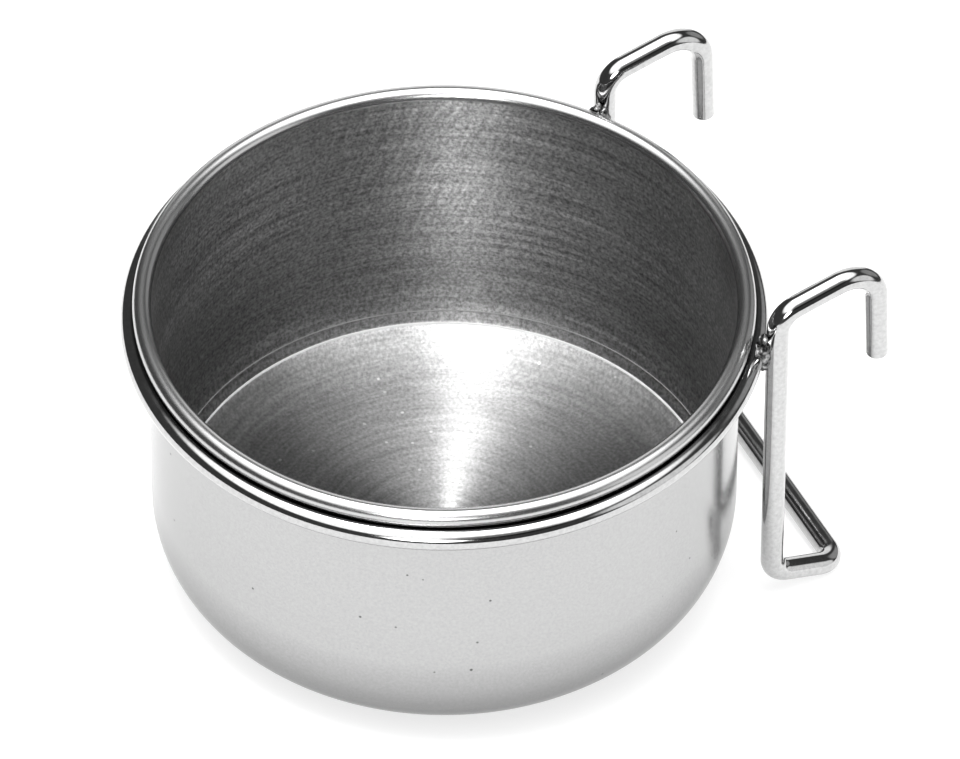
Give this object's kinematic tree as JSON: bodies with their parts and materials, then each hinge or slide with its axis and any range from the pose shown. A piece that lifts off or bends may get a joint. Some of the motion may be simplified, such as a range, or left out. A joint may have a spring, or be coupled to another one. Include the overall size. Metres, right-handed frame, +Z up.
{
  "type": "cage bowl",
  "caption": "Drawn steel cup with a curled rim that drops into a welded wire ring, whose hooks hang it on the bars of a cage.",
  "frame": {"origin": "centre of the underside of the cup's flat base", "axes": "+Z up along the cup's axis, +Y towards the hooks, +X along the crossbar to the right leg"},
  "size_m": [0.13, 0.1452, 0.0846],
  "materials": {
    "drawn_steel": "satin outside, circular brushed floor, bright curled rim",
    "bright_wire": "bright polished stainless wire",
    "weld_metal": "rough as welded"
  },
  "bodies": {
    "holder": {"support_ring": "bright_wire", "hanger_wire": "bright_wire", "left_weld": "weld_metal", "right_weld": "weld_metal"},
    "cup": {"cup": "drawn_steel"}
  },
  "joints": [
    {"name": "cup_lift", "type": "slide", "parent": "holder", "child": "cup", "axis": [0, 0, 1], "range_m": [0, 0.09]}
  ]
}
